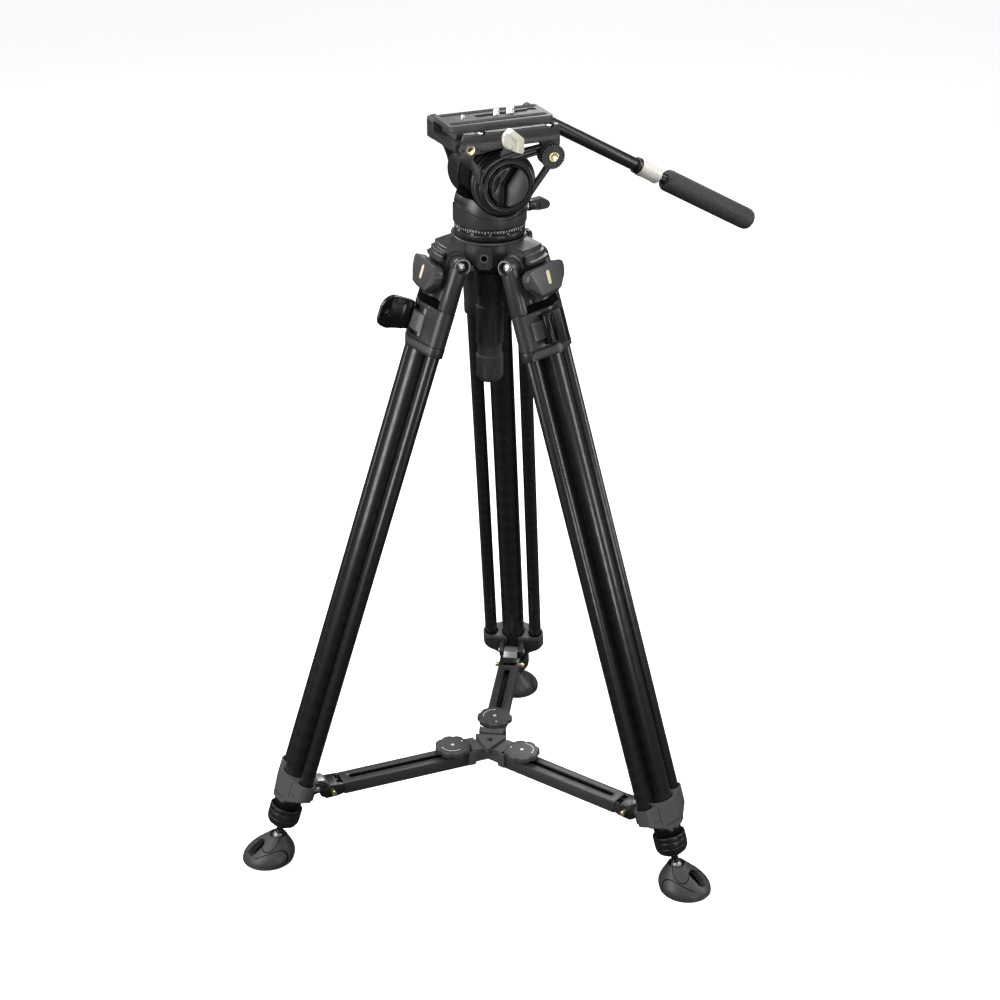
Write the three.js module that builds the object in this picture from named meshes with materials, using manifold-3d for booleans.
// A fluid video head on a three-legged tripod, one reusable assembly. Millimetres, +Z up.
// The tripod axis is the working Z axis. The front leg and the lens side point to -X, the operator
// and the pan bar to +X, the drag knob to -Y. The whole group is shifted at the end so that the
// frame origin is the bottom centre of the bounding box.

import * as THREE from 'three';
import { mergeVertices } from 'three/addons/utils/BufferGeometryUtils.js';
import Module from 'manifold-3d';

const wasm = await Module();
wasm.setup();

const DEG = Math.PI / 180;
const GAP = 0.35;            // air left between pieces that touch in the real object

// Legs: pivot position, lean and azimuths
const PIVOT_R = 46.6;
const PIVOT_Z = 733.8;
const LEAN = 17.9 * DEG;
const LEGS = [['front', 180, 90], ['left', -60, 0], ['right', 60, 0]];   // name, azimuth, lever turn

// Leg-local lengths: x outward, y tangential, z up the leg from the pivot
const SIDE_TUBE_R = 8;
const SIDE_TUBE_X = 1.5;
const SIDE_TUBE_Y = 29.5;
const SIDE_TUBE_TOP = -20;
const SIDE_TUBE_END = -674;
const SLEEVE_R = 10;
const MID_TUBE_R = 14.5;
const MID_TUBE_BORE = 12.6;
const MID_TUBE_X = 4;
const MID_TUBE_TOP = -24;
const MID_TUBE_END = -698;
const INNER_TUBE_R = 12;
const INNER_TUBE_TOP = -214;
const COLLAR_TOP = -54;
const COLLAR_END = -108;
const LOWER_COLLAR_TOP = -658;
const LOWER_COLLAR_END = -692;
const RING_R = 10.5;
const RING_IN = 20.3;
const RING_OUT = 34;
const CAP_R = 19.6;
const CAP_TOP = -699;
const CAP_END = -726;
const BALL_Z = -743;
const BALL_R = 6.6;
const LEVER_PIVOT = [24.5, -15];
const TAB_PIVOT = [25.2, -25];

// Crown and bowl
const BOWL_R = 37.5;
const RIM_Z = 757;
const CROWN_R = 40.4;
const CROWN_END = 730;
const KNUCKLE_R = 13;

// Head
const TILT_X = 3;
const TILT_Z = 823.5;
const RING_TOP = 768.2;
const HOUSING_R = 40.6;
const DRUM_R = 36.5;
const PLATE_TOP = 889.5;
const PAN_LOCK_Z = 783;
const ROSETTE_X = 52.5;
const ROSETTE_Z = 851.5;

// Pan bar, measured along its own axis from the point above the rosette
const BAR_Y = 58.5;
const BAR_X = 52.5;
const BAR_Z = 880.6;
const BAR_DIP = 29.5 * DEG;
const COLLAR_BORE = 7.6;

// Spreader
const ARM_TOP = 89.5;
const ARM_HEIGHT = 13;
const ARM_HALF = 11.5;
const ARM_START = 31;
const ARM_END = 196;
const KNOB_R = 49.6;
const HINGE_R = 231;
const HINGE_Z = 92.6;

const PAINT = {
  satin: { color: 0x2b2b2d, roughness: 0.5, metalness: 0.4 },
  cast: { color: 0x343436, roughness: 0.55, metalness: 0.35 },
  tube: { color: 0x151516, roughness: 0.22, metalness: 0.2 },
  plastic: { color: 0x232324, roughness: 0.5, metalness: 0.0 },
  rubber: { color: 0x333335, roughness: 0.85, metalness: 0.0 },
  champagne: { color: 0xe6dcbc, roughness: 0.35, metalness: 0.6 },
  steel: { color: 0xc9c9cb, roughness: 0.25, metalness: 0.95 },
};

// ---------- solids ----------

function signedVolume(position, index) {
  const a = new THREE.Vector3();
  const b = new THREE.Vector3();
  const c = new THREE.Vector3();
  let total = 0;
  for (let i = 0; i < index.length; i += 3) {
    a.fromBufferAttribute(position, index[i]);
    b.fromBufferAttribute(position, index[i + 1]);
    c.fromBufferAttribute(position, index[i + 2]);
    total += a.dot(b.cross(c));
  }
  return total;
}

function solid(geometry) {
  const bare = geometry.clone();
  bare.deleteAttribute('normal');
  bare.deleteAttribute('uv');
  const welded = mergeVertices(bare, 1e-4);
  const raw = welded.index.array;
  const kept = [];
  for (let i = 0; i < raw.length; i += 3) {
    const [p, q, r] = [raw[i], raw[i + 1], raw[i + 2]];
    if (p !== q && q !== r && r !== p) kept.push(p, q, r);
  }
  if (signedVolume(welded.attributes.position, kept) < 0) kept.reverse();
  const mesh = new wasm.Mesh({
    numProp: 3,
    vertProperties: new Float32Array(welded.attributes.position.array),
    triVerts: new Uint32Array(kept),
  });
  return new wasm.Manifold(mesh);
}

function join(...solids) {
  return solids.reduce((whole, next) => whole.add(next));
}

function cut(body, ...tools) {
  return tools.reduce((whole, tool) => whole.subtract(tool), body);
}

function toGeometry(body) {
  const mesh = body.getMesh();
  const geometry = new THREE.BufferGeometry();
  geometry.setAttribute('position', new THREE.BufferAttribute(new Float32Array(mesh.vertProperties), 3));
  geometry.setIndex(new THREE.BufferAttribute(new Uint32Array(mesh.triVerts), 1));
  geometry.computeVertexNormals();
  return geometry;
}

function box(x0, x1, y0, y1, z0, z1) {
  const geometry = new THREE.BoxGeometry(x1 - x0, y1 - y0, z1 - z0);
  geometry.translate((x0 + x1) / 2, (y0 + y1) / 2, (z0 + z1) / 2);
  return solid(geometry);
}

// A cylinder or cone between two points
function rod(from, to, radius, segments = 14, endRadius = radius) {
  const start = new THREE.Vector3(...from);
  const end = new THREE.Vector3(...to);
  const along = end.clone().sub(start);
  const geometry = new THREE.CylinderGeometry(endRadius, radius, along.length(), segments);
  const turn = new THREE.Quaternion().setFromUnitVectors(new THREE.Vector3(0, 1, 0), along.clone().normalize());
  geometry.applyQuaternion(turn);
  const middle = start.add(end).multiplyScalar(0.5);
  geometry.translate(middle.x, middle.y, middle.z);
  return solid(geometry);
}

function ball(centre, radius, segments = 20) {
  const geometry = new THREE.SphereGeometry(radius, segments, Math.round(segments / 2));
  geometry.rotateX(Math.PI / 2);
  geometry.translate(...centre);
  return solid(geometry);
}

// A turned shape about the Z axis from [radius, height] pairs that start and end on the axis
function turned(profile, segments = 32) {
  const points = profile.map(([radius, height]) => new THREE.Vector2(radius, height));
  const geometry = new THREE.LatheGeometry(points, segments);
  geometry.rotateX(Math.PI / 2);
  return solid(geometry);
}

// A flat outline in X and Y, raised from z0 to z1
function slab(outline, z0, z1, curve = 6) {
  const shape = outline instanceof THREE.Shape
    ? outline
    : new THREE.Shape(outline.map(([x, y]) => new THREE.Vector2(x, y)));
  const options = { depth: z1 - z0, bevelEnabled: false, curveSegments: curve };
  const geometry = new THREE.ExtrudeGeometry(shape, options);
  geometry.translate(0, 0, z0);
  return solid(geometry);
}

// The same, with the outline in X and Z and the thickness along Y
function panel(outline, y0, y1, curve = 6) {
  return slab(outline, -y1, -y0, curve).rotate([90, 0, 0]);
}

// A round-ended bar outline between two points in a plane
function stadium(x0, y0, x1, y1, radius) {
  const angle = Math.atan2(y1 - y0, x1 - x0);
  const shape = new THREE.Shape();
  shape.absarc(x1, y1, radius, angle - Math.PI / 2, angle + Math.PI / 2, false);
  shape.absarc(x0, y0, radius, angle + Math.PI / 2, angle + Math.PI * 1.5, false);
  shape.closePath();
  return shape;
}

// A block round both side tubes and the middle tube, in leg-local axes
function collarBlock(sideRadius, midRadius, z0, z1) {
  const toMid = [MID_TUBE_X - SIDE_TUBE_X, -SIDE_TUBE_Y];
  const distance = Math.hypot(...toMid);
  const swing = Math.acos((sideRadius - midRadius) / distance);
  const angle = Math.atan2(toMid[1], toMid[0]) + swing;
  const normal = [Math.cos(angle), Math.sin(angle)];
  const side = [SIDE_TUBE_X + sideRadius * normal[0], SIDE_TUBE_Y + sideRadius * normal[1]];
  const mid = [MID_TUBE_X + midRadius * normal[0], midRadius * normal[1]];
  const inner = [SIDE_TUBE_X - sideRadius, SIDE_TUBE_Y];
  const half = [inner, side, mid];
  const mirrored = half.slice().reverse().map(([x, y]) => [x, -y]);
  const posts = [-SIDE_TUBE_Y, SIDE_TUBE_Y].map((y) => rod([SIDE_TUBE_X, y, z0], [SIDE_TUBE_X, y, z1], sideRadius, 12));
  const middle = rod([MID_TUBE_X, 0, z0], [MID_TUBE_X, 0, z1], midRadius, 16);
  return join(slab([...half, ...mirrored].reverse(), z0, z1), middle, ...posts);
}

function sideBores(radius, z0, z1) {
  return [-SIDE_TUBE_Y, SIDE_TUBE_Y].map((y) => rod([SIDE_TUBE_X, y, z0], [SIDE_TUBE_X, y, z1], radius, 12));
}

// ---------- leg pieces, in leg-local axes ----------

function legShoulder() {
  const collar = collarBlock(SLEEVE_R + 0.4, 18.6, COLLAR_END, COLLAR_TOP);
  const dome = join(
    rod([MID_TUBE_X, 0, COLLAR_TOP - 4], [MID_TUBE_X, 0, -36], 17, 16),
    rod([MID_TUBE_X, 0, -36], [MID_TUBE_X, 0, -17], 17, 16, 13),
  );
  const web = box(-6, 9, -SIDE_TUBE_Y, SIDE_TUBE_Y, COLLAR_TOP - 4, -19);
  const lugs = [-8.4, 8.4].map((y) => box(12, TAB_PIVOT[0] - 1.4, y - 2, y + 2, -28, -22));
  const rings = [-1, 1].map((side) => join(
    rod([0, side * RING_IN, 0], [0, side * RING_OUT, 0], RING_R, 14),
    rod([SIDE_TUBE_X, side * SIDE_TUBE_Y, -4], [SIDE_TUBE_X, side * SIDE_TUBE_Y, COLLAR_TOP - 2], SLEEVE_R, 12),
  ));
  const bulk = join(collar, dome, web, ...lugs, ...rings);
  const recesses = [-1, 1].map((side) => rod([0, side * (RING_OUT - 4.5), 0], [0, side * 60, 0], 7, 10));
  const bolt = rod([0, -60, 0], [0, 60, 0], 3 + GAP, 8);
  const midBore = rod([MID_TUBE_X, 0, -140], [MID_TUBE_X, 0, MID_TUBE_TOP + GAP], MID_TUBE_R + GAP, 16);
  const knuckleRoom = rod([0, -RING_IN, 0], [0, RING_IN, 0], KNUCKLE_R + 3, 14);
  const window = box(MID_TUBE_X + 6, 40, -19.5, 19.5, -96, -60);
  return cut(bulk, ...recesses, bolt, midBore, knuckleRoom, window, ...sideBores(SIDE_TUBE_R + GAP, -140, SIDE_TUBE_TOP + GAP));
}

function sideTube(side) {
  const at = (radius, z0, z1) => rod(
    [SIDE_TUBE_X, side * SIDE_TUBE_Y, z0],
    [SIDE_TUBE_X, side * SIDE_TUBE_Y, z1],
    radius,
  );
  return cut(at(SIDE_TUBE_R, SIDE_TUBE_END, SIDE_TUBE_TOP), at(SIDE_TUBE_R - 1.4, SIDE_TUBE_END - 5, SIDE_TUBE_TOP + 5));
}

function pivotBolt() {
  const shank = rod([0, -RING_OUT + 4, 0], [0, RING_OUT - 4, 0], 3, 8);
  const heads = [-1, 1].map((side) => rod([0, side * (RING_OUT - 4.1), 0], [0, side * (RING_OUT - 0.6), 0], 5.2, 12));
  return join(shank, ...heads);
}

function angleTab() {
  const outline = [
    [-23.5, -8], [23.5, -8], [26, -10], [32.5, -20], [31, -26], [19, -37], [9, -40], [-9, -40],
    [-19, -37], [-31, -26], [-32.5, -20], [-26, -10],
  ];
  const plate = slab(outline, 0, 3.2).rotate([90, 0, 90]).translate([24.6, 0, 0]);
  const barrel = rod([TAB_PIVOT[0], -6, TAB_PIVOT[1]], [TAB_PIVOT[0], 6, TAB_PIVOT[1]], 3, 12);
  return join(plate, barrel);
}

// A curved paddle that closes round the middle tube; turnedOut is its opening in degrees
function lever(turnedOut) {
  const inner = 19.6;
  const outer = 24.6;
  const band = cut(
    rod([MID_TUBE_X, 0, -93], [MID_TUBE_X, 0, -63], outer, 24),
    rod([MID_TUBE_X, 0, -99], [MID_TUBE_X, 0, -57], inner, 24),
    box(-40, MID_TUBE_X + 11, -40, 40, -110, -40),
    box(-40, 60, -60, LEVER_PIVOT[1] + 1, -110, -40),
    box(-40, 60, 19, 60, -110, -40),
  );
  const tip = box(MID_TUBE_X + 12, 28, 15.5, 19, -91, -65);
  const root = rod([LEVER_PIVOT[0], LEVER_PIVOT[1], -93], [LEVER_PIVOT[0], LEVER_PIVOT[1], -63], 3.6, 12);
  const arm = box(LEVER_PIVOT[0] - 4.5, LEVER_PIVOT[0] + 1.5, LEVER_PIVOT[1], LEVER_PIVOT[1] + 8, -93, -63);
  const clearTube = rod([MID_TUBE_X, 0, -110], [MID_TUBE_X, 0, -40], inner, 24);
  const whole = cut(join(band, tip, root, arm), clearTube);
  return whole
    .translate([-LEVER_PIVOT[0], -LEVER_PIVOT[1], 0])
    .rotate([0, 0, -turnedOut])
    .translate([LEVER_PIVOT[0], LEVER_PIVOT[1], 0]);
}

function middleTube() {
  return cut(
    rod([MID_TUBE_X, 0, MID_TUBE_END], [MID_TUBE_X, 0, MID_TUBE_TOP], MID_TUBE_R, 16),
    rod([MID_TUBE_X, 0, MID_TUBE_END - 5], [MID_TUBE_X, 0, MID_TUBE_TOP - 6], MID_TUBE_BORE, 16),
  );
}

function lowerCollar() {
  const block = collarBlock(SLEEVE_R + 0.6, 18.8, LOWER_COLLAR_END, LOWER_COLLAR_TOP + 8);
  const front = rod([MID_TUBE_X, 0, LOWER_COLLAR_END - 6], [MID_TUBE_X, 0, LOWER_COLLAR_TOP + 14], 18.8, 16);
  const [hingeX, hingeZ] = hingeInLeg();
  const ears = [-1, 1].map((side) => {
    const outline = [
      [-4, LOWER_COLLAR_END + 2], [-4, LOWER_COLLAR_TOP], [hingeX + 2, hingeZ + 7],
      [hingeX - 6, hingeZ + 5], [hingeX - 7, hingeZ - 4], [hingeX, hingeZ - 8],
    ];
    return panel(outline, side > 0 ? 11 : -16, side > 0 ? 16 : -11);
  });
  const pin = rod([hingeX, -16, hingeZ], [hingeX, 16, hingeZ], 2.4, 12);
  const slope = box(-30, -7.5, -60, 60, LOWER_COLLAR_TOP + 2, LOWER_COLLAR_TOP + 40);
  const midBore = rod([MID_TUBE_X, 0, -760], [MID_TUBE_X, 0, -600], MID_TUBE_R + GAP, 16);
  const bulk = cut(join(block, front), slope);
  return cut(join(bulk, ...ears, pin), midBore, ...sideBores(SIDE_TUBE_R + GAP, SIDE_TUBE_END - GAP, -600));
}

function hingeInLeg() {
  const out = HINGE_R - PIVOT_R;
  const down = PIVOT_Z - HINGE_Z;
  return [
    out * Math.cos(LEAN) - down * Math.sin(LEAN),
    -(out * Math.sin(LEAN) + down * Math.cos(LEAN)),
  ];
}

function footStage() {
  const profile = [
    [0, BALL_Z - BALL_R], [4.7, BALL_Z - 4.7], [BALL_R, BALL_Z], [4.2, BALL_Z + 5.1], [4.2, CAP_END - 5],
    [CAP_R - 5, CAP_END - 3], [CAP_R, CAP_END + 5], [CAP_R, CAP_TOP], [CAP_R - 2.6, CAP_TOP],
    [CAP_R - 2.6, CAP_TOP - 4], [INNER_TUBE_R, CAP_TOP - 4], [INNER_TUBE_R, INNER_TUBE_TOP],
    [INNER_TUBE_R - 1.6, INNER_TUBE_TOP], [INNER_TUBE_R - 1.6, CAP_TOP - 2], [0, CAP_TOP - 2],
  ];
  return turned(profile, 16).translate([MID_TUBE_X, 0, 0]);
}

// ---------- placing leg pieces ----------

function legMatrix(azimuth) {
  const spin = new THREE.Matrix4().makeRotationZ(azimuth * DEG);
  const move = new THREE.Matrix4().makeTranslation(PIVOT_R, 0, PIVOT_Z);
  const lean = new THREE.Matrix4().makeRotationY(-LEAN);
  return spin.multiply(move).multiply(lean);
}

// The ball centre of a foot in (radius, height) about the tripod axis
function ballInFrame() {
  const point = new THREE.Vector3(MID_TUBE_X, 0, BALL_Z).applyMatrix4(legMatrix(0));
  return [point.x, point.z];
}

function foot() {
  const [ballR, ballZ] = ballInFrame();
  const shift = 6;
  const dome = turned([
    [0, 0], [30.5, 0], [32, 4], [30, 14], [25, 25], [17, 34.5], [12.5, 38], [0, 38],
  ], 18).translate([ballR + shift, 0, 0]);
  const socket = ball([ballR, 0, ballZ], BALL_R + 0.7, 12);
  const mouth = rod([ballR, 0, ballZ + 1.5], [ballR, 0, 60], BALL_R + 0.6, 12, 26);
  const pocket = rod([ballR + 19, 0, 18], [ballR + 48, 0, 30], 8.5, 10);
  return cut(dome, socket, mouth, pocket);
}

// ---------- crown, bowl and levelling handle ----------

function crownArm() {
  const outline = [
    [26, CROWN_END], [40, 722], [58, 738], [69, 738.5], [69.5, 742], [64, 743.5], [64.5, 748],
    [60, 748.5], [60.5, 752.5], [40, 756.2], [26, 756.2],
  ];
  const knuckle = rod([PIVOT_R, -RING_IN + GAP, PIVOT_Z], [PIVOT_R, RING_IN - GAP, PIVOT_Z], KNUCKLE_R, 18);
  const cheek = panel(outline, -17, 17);
  const bore = rod([PIVOT_R, -60, PIVOT_Z], [PIVOT_R, 60, PIVOT_Z], 3 + GAP, 12);
  return cut(join(cheek, knuckle), bore);
}

function crown() {
  const ring = rod([0, 0, CROWN_END], [0, 0, RIM_Z], CROWN_R, 32);
  const arms = LEGS.map(([, azimuth]) => crownArm().rotate([0, 0, azimuth]));
  const blocks = LEGS.map(([, azimuth]) => box(34, 48, -8.5, 8.5, 731.5, 754.5).rotate([0, 0, azimuth + 60]));
  const holes = LEGS.map(([, azimuth]) => rod([40, 0, 743.5], [60, 0, 743.5], 3.6, 14).rotate([0, 0, azimuth + 60]));
  const bowl = ball([0, 0, RIM_Z], BOWL_R, 26);
  const throat = rod([0, 0, 700], [0, 0, RIM_Z], 24, 26);
  return cut(join(ring, ...arms, ...blocks), bowl, throat, ...holes);
}

function headBase() {
  const profile = [[0, 700], [5, 700], [5, 731]];
  const steps = 5;
  const radius = BOWL_R - 2 * GAP;
  const low = Math.asin(-24 / radius);
  const high = Math.asin(3.8 / radius);
  for (let i = 0; i <= steps; i += 1) {
    const angle = low + (high - low) * (i / steps);
    profile.push([radius * Math.cos(angle), RIM_Z + radius * Math.sin(angle)]);
  }
  profile.push([39, 761.2], [39.3, 763], [39.3, RING_TOP], [0, RING_TOP]);
  return turned(profile, 26);
}

function bowlHandle() {
  const profile = [
    [0, 580.5], [9, 581], [13.5, 584], [15.5, 589], [15.5, 614], [13.8, 617], [13.8, 626], [15.5, 629],
    [15.5, 673], [13.8, 676], [13.8, 684], [15.5, 687], [15.5, 716], [20, 717], [22.5, 722], [22.5, 727],
    [5 + GAP, 727], [5 + GAP, 699], [0, 699],
  ];
  return turned(profile, 16);
}

// ---------- pan and tilt ----------

function panHousing() {
  const body = turned([
    [0, RING_TOP + 0.6], [39.6, RING_TOP + 0.6], [HOUSING_R, 770], [HOUSING_R, 785], [39.2, 797], [36.6, 804.5], [0, 804.5],
  ], 28);
  const boss = rod([34, 0, PAN_LOCK_Z], [42, 0, PAN_LOCK_Z], 9, 20);
  const drumRoom = rod([TILT_X, -60, TILT_Z], [TILT_X, 60, TILT_Z], DRUM_R + 2 * GAP, 28);
  const screwRoom = rod([37, 0, PAN_LOCK_Z], [60, 0, PAN_LOCK_Z], 3.4, 12);
  const ringRoom = rod([TILT_X, -60, TILT_Z], [TILT_X, -37.4, TILT_Z], 32.6, 24);
  const farRoom = rod([TILT_X, 37.4, TILT_Z], [TILT_X, 60, TILT_Z], 40, 24);
  return cut(join(body, boss), drumRoom, screwRoom, ringRoom, farRoom);
}

function tiltDrum() {
  const barrel = rod([TILT_X, -36.8, TILT_Z], [TILT_X, 44, TILT_Z], DRUM_R, 28);
  const waist = cut(
    rod([TILT_X, -20, TILT_Z], [TILT_X, -12, TILT_Z], DRUM_R + 2, 28),
    rod([TILT_X, -21, TILT_Z], [TILT_X, -11, TILT_Z], DRUM_R - 2.5, 28),
  );
  const hub = rod([TILT_X, -46, TILT_Z], [TILT_X, -36, TILT_Z], 9, 16);
  const farHub = rod([TILT_X, 43, TILT_Z], [TILT_X, 51, TILT_Z], 9, 16);
  return join(cut(barrel, waist), hub, farHub);
}

function dragKnob() {
  const disc = cut(
    rod([TILT_X, -49.5, TILT_Z], [TILT_X, -37.2, TILT_Z], 23.2, 24),
    rod([TILT_X, -60, TILT_Z], [TILT_X, -43, TILT_Z], 20.5, 24),
    rod([TILT_X, -47, TILT_Z], [TILT_X, -30, TILT_Z], 9 + GAP, 14),
  );
  const grip = panel([[-7, -19], [1, -19.4], [1, -4], [9, 12], [9, 18], [0, 19.6], [-7, 6]], -50.5, -42.5)
    .translate([TILT_X, 0, TILT_Z]);
  const back = cut(
    rod([TILT_X, -44.4, TILT_Z], [TILT_X, -41.5, TILT_Z], 21.5, 24),
    rod([TILT_X, -43.2, TILT_Z], [TILT_X, -30, TILT_Z], 9 + GAP, 14),
  );
  return cut(join(disc, back, grip), rod([TILT_X, -46.4, TILT_Z], [TILT_X, -30, TILT_Z], 9 + GAP, 14));
}

function tiltCradle() {
  const side = [
    [-44, 862], [44, 862], [44.6, 872], [43, 880], [39, 885], [27.6, 885], [27.6, 881], [29.6, 874], [-29.6, 874],
    [-27.6, 881], [-27.6, 883], [-39, 883], [-43, 880], [-44.8, 872],
  ];
  const deck = slab(side, 0, 118, 4).rotate([90, 0, 90]).translate([-55, 0, 0]);
  const corner = join(
    box(-63, -54, 29.6, 43.5, 866, 884),
    panel([[-54, 862], [-63, 866], [-63, 873], [-54, 873.5]], -40, 43.5),
  );
  const leverPocket = rod([5, -60, 874], [5, -38.5, 874], 11, 16);
  const screwPockets = [-26, 55].map((x) => rod([x, -35, 878], [x, -35, 890], 4.6, 10));
  const ring = cut(
    rod([TILT_X, -46.5, TILT_Z], [TILT_X, -37.8, TILT_Z], 31, 24),
    rod([TILT_X, -50, TILT_Z], [TILT_X, -30, TILT_Z], 23.2 + 2 * GAP, 24),
  );
  const leftArm = panel([[-55, 864], [-55, 857], [-36, 846.5], [-29, 826], [-26, 838], [-30, 849], [-47, 863]], -46, -37.8);
  const rightArm = panel([[2, 853.6], [2, 846.8], [44, 850], [52, 846], [56, 862.5], [44, 857]], -46, -37.8);
  const post = panel([[3, 866], [-1, 852.5], [6, 853.5], [11, 866]], -46, -37.8);
  const strut = panel([[55, 840], [50.5, 840], [27, 812], [29.5, 807.5]], -46, -38.5);
  const frontBoss = join(
    rod([ROSETTE_X, -51.5, ROSETTE_Z], [ROSETTE_X, -38, ROSETTE_Z], 12, 24),
    box(48, 63, -46, -38, ROSETTE_Z, 864),
  );
  const farYoke = join(
    cut(
      rod([TILT_X, 44.8, TILT_Z], [TILT_X, 48.6, TILT_Z], 31, 24),
      rod([TILT_X, 40, TILT_Z], [TILT_X, 60, TILT_Z], 9 + 2 * GAP, 20),
    ),
    panel([[-40, 866], [-28, 822], [30, 812], [66, 846], [66, 866]], 44.8, 48.6),
    box(-40, 62, 43, 48.6, 863, 878),
  );
  const farBoss = rod([ROSETTE_X, 48, ROSETTE_Z], [ROSETTE_X, 53, ROSETTE_Z], 13, 20);
  const hubHole = rod([TILT_X, 40, TILT_Z], [TILT_X, 60, TILT_Z], 9 + 2 * GAP, 20);
  const farWeb = cut(farYoke, hubHole, rod([TILT_X, 30, TILT_Z], [TILT_X, 44.9, TILT_Z], 45, 24));
  const insertHole = rod([-41, -60, 868], [-41, -36, 868], 4.2, 16);
  const body = cut(join(deck, corner), ...screwPockets);
  const whole = join(body, ring, leftArm, rightArm, post, strut, frontBoss, farWeb, farBoss);
  return cut(whole, insertHole, leverPocket);
}

function rosette() {
  const disc = rod([ROSETTE_X, -56.5, ROSETTE_Z], [ROSETTE_X, -51.9, ROSETTE_Z], 13.5, 32);
  return cut(disc, rod([ROSETTE_X, -60, ROSETTE_Z], [ROSETTE_X, -53.5, ROSETTE_Z], 3, 14));
}

function quickPlate() {
  const section = [
    [-24, 874.4], [24, 874.4], [26.8, 879], [26.8, 881.6], [25, 884.4], [25, 888.3], [23.8, PLATE_TOP], [-23.8, PLATE_TOP],
    [-25, 888.3], [-25, 884.4], [-26.8, 881.6], [-26.8, 879],
  ].map(([y, z]) => [y, z]);
  const body = slab(section, 0, 120, 4).rotate([90, 0, 90]).translate([-55, 0, 0]);
  const cornerCuts = [[-55, -27], [-55, 27], [65, -27], [65, 27]].map(([x, y]) => box(-3, 3, -3, 3, 870, 895)
    .rotate([0, 0, 45]).translate([x, y, 0]));
  const slot = slab(stadium(-14, 1, 45, 1, 5.1), 870, 895);
  const screwRooms = [[9, 5.6], [26, 7.4]].map(([x, r]) => rod([x, 1, 873], [x, 1, 882.4], r, 20));
  const pinHole = rod([-31, 1, 870], [-31, 1, 895], 2.6, 14);
  const strips = [-14.8, 14.8].map((y) => slab(stadium(-46, y, 56, y, 3.3), PLATE_TOP - 0.7, PLATE_TOP + 0.7));
  return cut(join(body, ...strips), ...cornerCuts, slot, ...screwRooms, pinHole);
}

function cameraScrew(x, headRadius, threadRadius, top) {
  return join(
    rod([x, 1, 874.8], [x, 1, 882], headRadius, 20),
    rod([x, 1, 881], [x, 1, top], threadRadius, 16),
  );
}

function platePin() {
  return join(rod([-31, 1, 877.2], [-31, 1, 891.5], 2.2, 14), rod([-31, 1, 890.5], [-31, 1, 893], 2.2, 14, 1.5));
}

function clampLever() {
  const hub = rod([5, -50, 874], [5, -39, 874], 10, 24);
  const outline = [[0, 883], [8, 884.5], [14, 877], [19, 864], [18, 857], [12, 857], [3, 867], [-2, 876]];
  return join(hub, panel(outline, -55.5, -48.5));
}

function panLock() {
  return join(
    rod([37.6, 0, PAN_LOCK_Z], [44, 0, PAN_LOCK_Z], 3, 12),
    rod([42.4, 0, PAN_LOCK_Z], [46, 0, PAN_LOCK_Z], 5.6, 16),
    rod([46, 0, PAN_LOCK_Z], [54, 0, PAN_LOCK_Z], 7, 18, 6),
    panel([[50, 777.5], [66, 778], [70, 781.5], [69, 786.5], [62, 790.5], [50, 789]], -4, 4),
  );
}

function tiltLock() {
  return join(
    rod([TILT_X, 51.4, TILT_Z], [TILT_X, 57, TILT_Z], 13, 24),
    panel(stadium(TILT_X, TILT_Z, TILT_X + 26, TILT_Z - 16, 5.5), 55, 61),
  );
}

// ---------- pan bar, built along +X from the bar's own origin, then dipped ----------

function dipped(body) {
  return body.rotate([0, BAR_DIP / DEG, 0]).translate([BAR_X, BAR_Y, BAR_Z]);
}

function along(t0, t1, radius, segments = 24) {
  return rod([t0, 0, 0], [t1, 0, 0], radius, segments);
}

function panBarClamp() {
  const disc = rod([ROSETTE_X, 53.4, ROSETTE_Z], [ROSETTE_X, 60, ROSETTE_Z], 13.5, 24);
  const elbow = panel([[42, 843], [63, 843], [83, 856], [76, 869], [62, 872], [42, 860]], 54.5, 63);
  const socket = dipped(along(15, 46, 9.4, 20));
  const tubeRoom = dipped(along(19.5, 60, 7.5 + GAP, 18));
  const screwRoom = rod([ROSETTE_X, 50, ROSETTE_Z], [ROSETTE_X, 70, ROSETTE_Z], 3 + GAP, 12);
  return cut(join(disc, elbow, socket), tubeRoom, screwRoom);
}

function panBarKnob() {
  return join(
    rod([ROSETTE_X, 53.8, ROSETTE_Z], [ROSETTE_X, 66, ROSETTE_Z], 3, 12),
    rod([ROSETTE_X, 63.4, ROSETTE_Z], [ROSETTE_X, 75, ROSETTE_Z], 9.5, 8),
  );
}

function panBarTube() {
  return dipped(cut(
    join(along(20, 182, 7.5, 18), along(178.5, 182, 9.6, 18)),
    along(48, 190, 6.2 + GAP, 18),
  ));
}

function panBarCollar() {
  return dipped(cut(along(182.4, 211, 10.2, 22), along(180, 215, COLLAR_BORE, 18)));
}

function panBarGrip() {
  return dipped(join(
    along(60, 232, 6.2, 18),
    turned([[0, 0], [10, 0], [13, 4], [13, 126], [11.5, 132.5], [7, 136], [0, 137]], 22)
      .rotate([0, 90, 0]).translate([220, 0, 0]),
  ));
}

// ---------- spreader ----------

function spreaderHub() {
  const arm = box(0, ARM_START - GAP, -12, 12, 78, 97);
  const lugs = [-1, 1].map((side) => box(20, ARM_START + 5, side * 13.6 - 1.6, side * 13.6 + 1.6, 78, 96));
  const plate = join(arm, ...lugs, box(18, 22, -15, 15, 78, 96));
  const whole = join(...LEGS.map(([, azimuth]) => plate.rotate([0, 0, azimuth])));
  const knobRoom = LEGS.map(([, azimuth]) => rod([KNOB_R, 0, 93.5], [KNOB_R, 0, 99], 22.7, 20).rotate([0, 0, azimuth]));
  return cut(whole, box(-4, 4, -3, 3, 92, 100), ...knobRoom);
}

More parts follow.
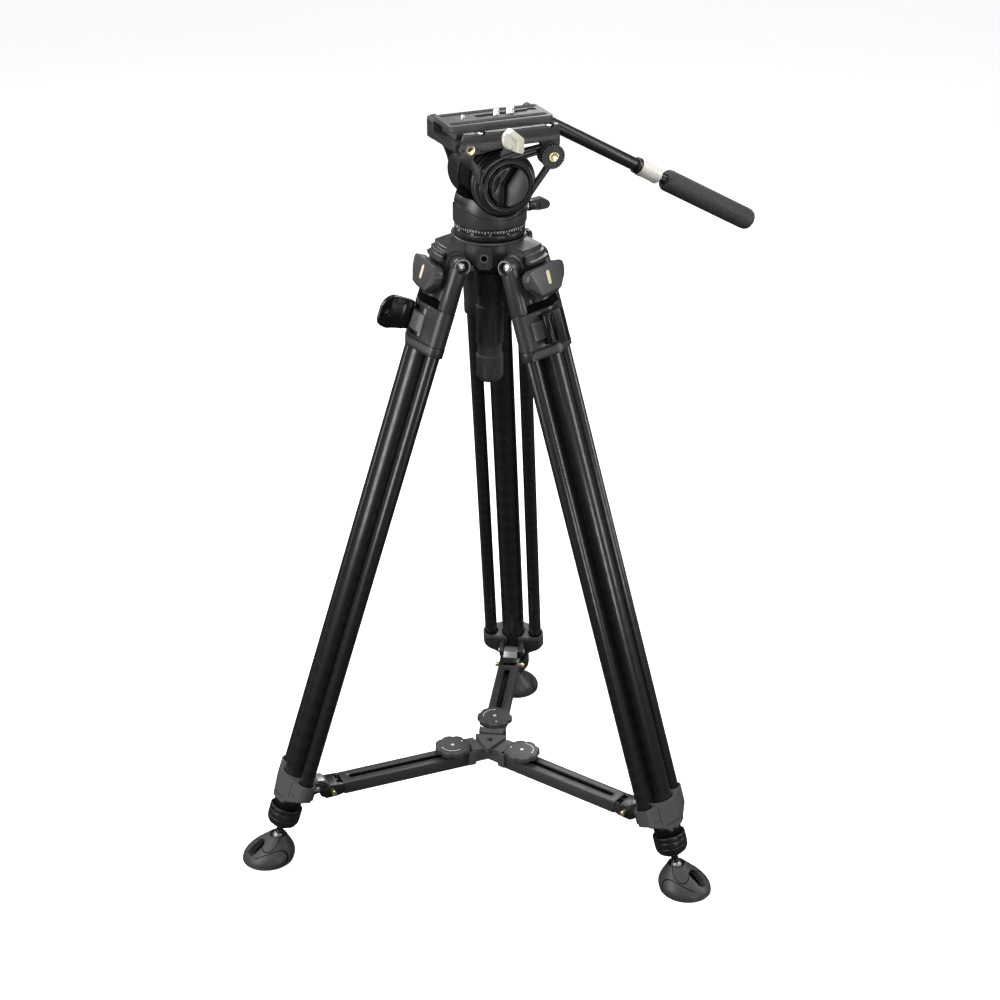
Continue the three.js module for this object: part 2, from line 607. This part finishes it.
function spreaderArm() {
  const body = box(ARM_START, ARM_END, -ARM_HALF, ARM_HALF, ARM_TOP - ARM_HEIGHT, ARM_TOP);
  const tunnel = box(ARM_START + 6, ARM_END + 5, -8.6, 8.6, ARM_TOP - ARM_HEIGHT + 2.4, ARM_TOP - 2.4);
  const slot = slab(stadium(KNOB_R, 0, ARM_END - 14, 0, 3.4), ARM_TOP - 4, ARM_TOP + 2);
  return cut(body, tunnel, slot);
}

function spreaderSlider() {
  const blade = box(42, ARM_END + 8, -8.2, 8.2, ARM_TOP - ARM_HEIGHT + 2.8, ARM_TOP - 2.8);
  const outline = [[ARM_END + 0.6, 76.5], [221, 74.5], [226, 80], [224, 90], [212, 91.5], [ARM_END + 0.6, ARM_TOP]];
  const block = panel(outline, -ARM_HALF, ARM_HALF);
  const pins = rod([211, -19.5, 82.5], [211, 19.5, 82.5], 3.1, 14);
  const tongue = panel([[216, 84], [223, 80], [HINGE_R - 0.5, 86.6], [HINGE_R + 3, 98], [218, 98]], -9, 9);
  const hingeRoom = rod([HINGE_R, -30, HINGE_Z], [HINGE_R, 30, HINGE_Z], 4.6, 14);
  const stud = rod([KNOB_R, 0, ARM_TOP - 4], [KNOB_R, 0, ARM_TOP + 2.6], 3, 12);
  return join(cut(join(block, tongue), hingeRoom), blade, pins, stud);
}

function spreaderKnob() {
  const lobes = 8;
  const shape = new THREE.Shape();
  const count = lobes * 4;
  for (let i = 0; i < count; i += 1) {
    const angle = (i / count) * 2 * Math.PI;
    const radius = 20.8 + 1.2 * Math.cos(angle * lobes);
    const point = [KNOB_R + radius * Math.cos(angle), radius * Math.sin(angle)];
    if (i === 0) shape.moveTo(...point);
    else shape.lineTo(...point);
  }
  shape.closePath();
  const body = join(slab(shape, 94, 102), rod([KNOB_R, 0, ARM_TOP + GAP], [KNOB_R, 0, 95], 12, 14));
  return cut(body, rod([KNOB_R, 0, ARM_TOP - 5], [KNOB_R, 0, ARM_TOP + 3], 3 + GAP, 12));
}

// ---------- assembly ----------

function piece(name, body, paint) {
  const material = new THREE.MeshStandardMaterial(PAINT[paint]);
  const mesh = new THREE.Mesh(toGeometry(body), material);
  mesh.name = name;
  return mesh;
}

function placed(mesh, matrix) {
  mesh.geometry.applyMatrix4(matrix);
  return mesh;
}

function legPieces([name, azimuth, leverTurn]) {
  const matrix = legMatrix(azimuth);
  const spin = new THREE.Matrix4().makeRotationZ(azimuth * DEG);
  const local = [
    piece(`leg_${name}_shoulder`, legShoulder(), 'cast'),
    piece(`leg_${name}_side_tube_a`, sideTube(1), 'tube'),
    piece(`leg_${name}_side_tube_b`, sideTube(-1), 'tube'),
    piece(`leg_${name}_pivot_bolt`, pivotBolt(), 'steel'),
    piece(`leg_${name}_angle_tab`, angleTab(), 'cast'),
    piece(`leg_${name}_lever`, lever(leverTurn), 'plastic'),
    piece(`leg_${name}_middle_tube`, middleTube(), 'tube'),
    piece(`leg_${name}_lower_collar`, lowerCollar(), 'cast'),
    piece(`leg_${name}_foot_stage`, footStage(), 'satin'),
  ].map((mesh) => placed(mesh, matrix));
  const flat = [
    piece(`leg_${name}_foot`, foot(), 'rubber'),
    piece(`spreader_arm_${name}`, spreaderArm(), 'satin'),
    piece(`spreader_slider_${name}`, spreaderSlider(), 'satin'),
    piece(`spreader_knob_${name}`, spreaderKnob(), 'plastic'),
  ].map((mesh) => placed(mesh, spin));
  return [...local, ...flat];
}

function headPieces() {
  return [
    piece('crown', crown(), 'cast'),
    piece('head_base', headBase(), 'satin'),
    piece('bowl_handle', bowlHandle(), 'rubber'),
    piece('pan_housing', panHousing(), 'satin'),
    piece('tilt_drum', tiltDrum(), 'satin'),
    piece('tilt_drag_knob', dragKnob(), 'satin'),
    piece('tilt_cradle', tiltCradle(), 'cast'),
    piece('accessory_rosette', rosette(), 'plastic'),
    piece('quick_plate', quickPlate(), 'cast'),
    piece('camera_screw_quarter', cameraScrew(9, 5.2, 3.1, 894), 'steel'),
    piece('camera_screw_three_eighths', cameraScrew(26, 7, 4.7, 895), 'steel'),
    piece('plate_pin', platePin(), 'steel'),
    piece('plate_clamp_lever', clampLever(), 'champagne'),
    piece('pan_lock', panLock(), 'plastic'),
    piece('tilt_lock', tiltLock(), 'plastic'),
    piece('pan_bar_clamp', panBarClamp(), 'satin'),
    piece('pan_bar_knob', panBarKnob(), 'plastic'),
    piece('pan_bar_tube', panBarTube(), 'tube'),
    piece('pan_bar_collar', panBarCollar(), 'champagne'),
    piece('pan_bar_grip', panBarGrip(), 'rubber'),
  ];
}

function assemble() {
  const group = new THREE.Group();
  group.name = 'video_tripod';
  group.add(...headPieces(), ...LEGS.flatMap(legPieces));
  group.add(piece('spreader_hub', spreaderHub(), 'satin'));
  const bounds = new THREE.Box3().setFromObject(group);
  const centre = bounds.getCenter(new THREE.Vector3());
  group.children.forEach((mesh) => mesh.geometry.translate(-centre.x, -centre.y, -bounds.min.z));
  return group;
}

export default assemble();
